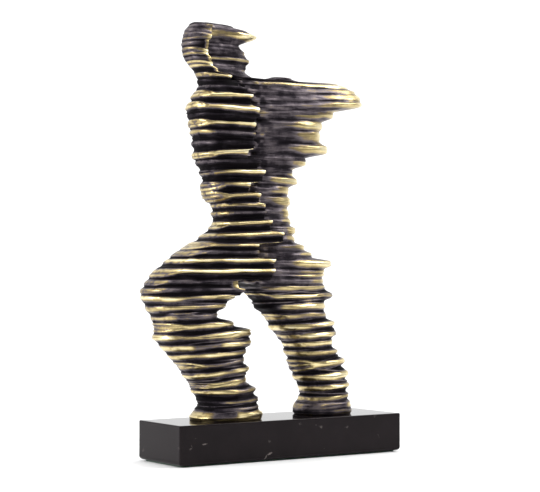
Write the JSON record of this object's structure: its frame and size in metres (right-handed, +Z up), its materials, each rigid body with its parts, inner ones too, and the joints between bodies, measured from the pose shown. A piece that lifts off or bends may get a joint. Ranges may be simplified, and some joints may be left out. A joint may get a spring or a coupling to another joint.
{
  "type": "bronze statuette",
  "caption": "Free-standing abstract striding figure in ridged bronze, bolted through a black marble slab with felt underneath.",
  "frame": {"origin": "centre of the felt's underside, on the surface that the statuette stands on", "axes": "+Z up, +X the way the figure faces along the base's long side, -Y the side with the clean-cut ridge ends"},
  "size_m": [0.2131, 0.06, 0.3253],
  "materials": {
    "bronze": "dark brown-black patina in the grooves, rubbed back to warm gold on the ridges",
    "black_marble": "polished black marble with a few pale flecks and hairline veins",
    "felt": "dark green wool felt, glued",
    "boss_brass": "turned, dull",
    "zinc_steel": "zinc plated, satin",
    "spring_steel": "oiled black spring steel"
  },
  "bodies": {
    "root": {"figure": "bronze", "marble_base": "black_marble", "felt_sheet": "felt", "rear_foot_boss": "boss_brass", "rear_stud": "zinc_steel", "rear_washer": "zinc_steel", "rear_spring_washer": "spring_steel", "rear_nut": "zinc_steel", "front_foot_boss": "boss_brass", "front_stud": "zinc_steel", "front_washer": "zinc_steel", "front_spring_washer": "spring_steel", "front_nut": "zinc_steel"}
  },
  "joints": []
}
